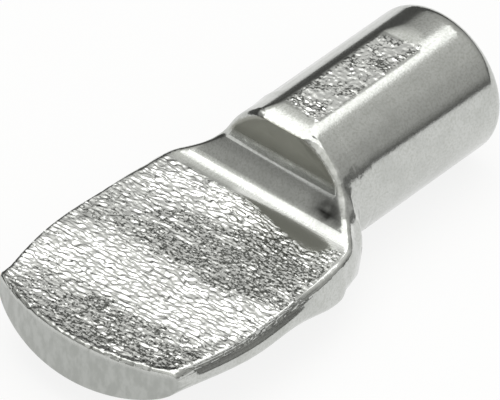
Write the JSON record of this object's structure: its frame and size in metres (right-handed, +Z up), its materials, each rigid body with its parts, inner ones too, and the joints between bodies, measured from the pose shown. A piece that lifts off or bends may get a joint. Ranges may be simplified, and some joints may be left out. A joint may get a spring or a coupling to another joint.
{
  "type": "shelf support pin",
  "caption": "One-piece forged steel shelf support: a round pin for a drilled hole, and a flat-topped spoon blade that carries the shelf.",
  "frame": {"origin": "on the pin's axis where its plain round starts, just clear of the neck", "axes": "+X along the pin to its free end, +Z up out of the blade's flat top, +Y across the blade"},
  "size_m": [0.017, 0.0084, 0.005],
  "materials": {
    "plated_steel": "bright plated, rough and streaked on the pressed faces"
  },
  "bodies": {
    "root": {"shelf_pin": "plated_steel"}
  },
  "joints": []
}
